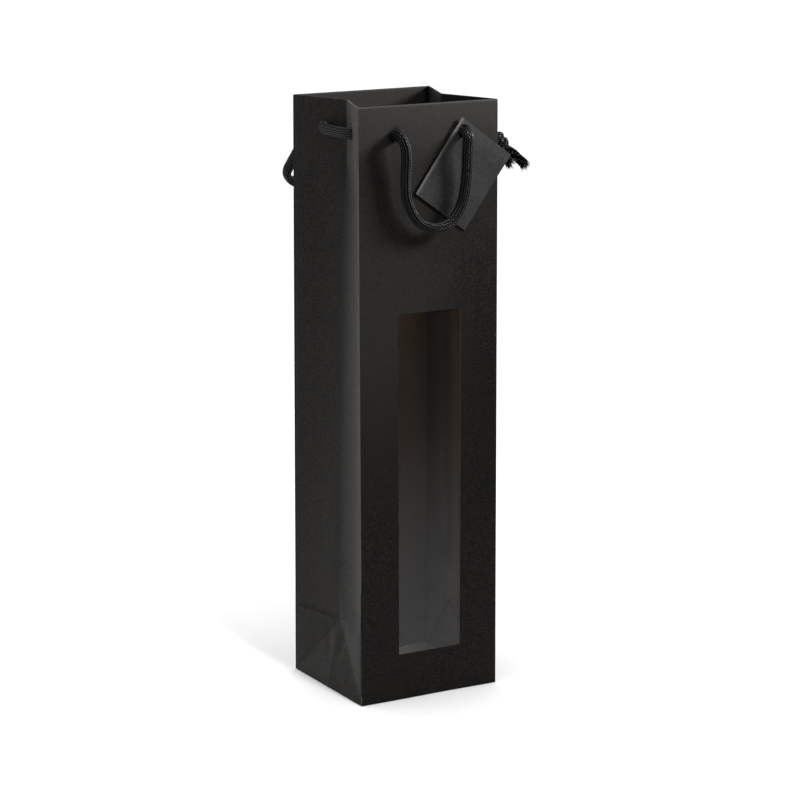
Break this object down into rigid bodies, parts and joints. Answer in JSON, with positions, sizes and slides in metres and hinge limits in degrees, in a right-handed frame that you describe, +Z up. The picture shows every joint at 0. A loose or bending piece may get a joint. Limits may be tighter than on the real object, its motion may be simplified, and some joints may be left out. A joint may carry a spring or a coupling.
{
  "type": "wine gift bag",
  "caption": "Tall narrow paper gift bag for a bottle, with a clear front window, pushed-in side gussets, laced braided cord handles tied at one side and a hanging card tag.",
  "frame": {"origin": "middle of the base, on the surface that the bag stands on", "axes": "+Z up, +X to the right across the front panel, -Y out of the front panel"},
  "size_m": [0.1315, 0.1382, 0.38],
  "materials": {
    "black_paper": "matt black coated kraft paper, kraft brown inside and at cut and worn edges",
    "greyboard": "uncoated greyboard",
    "clear_film": "clear gloss film",
    "cord": "black tubular braided cord with a soft sheen",
    "tag_card": "matt black card with a pale cut edge"
  },
  "bodies": {
    "bag": {"front_panel": "black_paper", "back_panel": "black_paper", "front_stiffening_card": "greyboard", "back_stiffening_card": "greyboard", "front_hem": "black_paper", "back_hem": "black_paper", "window_film": "clear_film", "seam_lap": "black_paper", "left_gusset_foot": "black_paper", "left_gusset_front": "black_paper", "left_gusset_rear": "black_paper", "left_hem_front": "black_paper", "left_hem_rear": "black_paper", "right_gusset_foot": "black_paper", "right_gusset_front": "black_paper", "right_gusset_rear": "black_paper", "right_hem_front": "black_paper", "right_hem_rear": "black_paper", "base_flap_front": "black_paper", "base_flap_rear": "black_paper", "base_ear_left": "black_paper", "base_ear_right": "black_paper", "base_board": "greyboard", "left_side_cord": "cord", "right_inner_cord_front": "cord", "right_inner_cord_rear": "cord"},
    "front_handle": {"front_handle_loop": "cord"},
    "back_handle": {"back_handle_loop": "cord"},
    "knot": {"right_cord_front": "cord", "right_cord_rear": "cord", "cord_knot": "cord", "cord_tail_front": "cord", "cord_tail_rear": "cord"},
    "tag": {"gift_tag": "tag_card"}
  },
  "joints": [
    {"name": "front_handle_swing", "type": "hinge", "parent": "bag", "child": "front_handle", "pos_m": [0, -0.04955, 0.3614], "axis": [-1, 0, 0], "range_deg": [0, 180]},
    {"name": "back_handle_swing", "type": "hinge", "parent": "bag", "child": "back_handle", "pos_m": [0, 0.04955, 0.3614], "axis": [1, 0, 0], "range_deg": [-35, 150]},
    {"name": "knot_flop", "type": "hinge", "parent": "bag", "child": "knot", "pos_m": [0.04909, 0, 0.3614], "axis": [0, -1, 0], "range_deg": [-10, 75]},
    {"name": "tag_swing", "type": "hinge", "parent": "bag", "child": "tag", "pos_m": [0.024, -0.04455, 0.3614], "axis": [0, -1, 0], "range_deg": [-40, 180]}
  ]
}
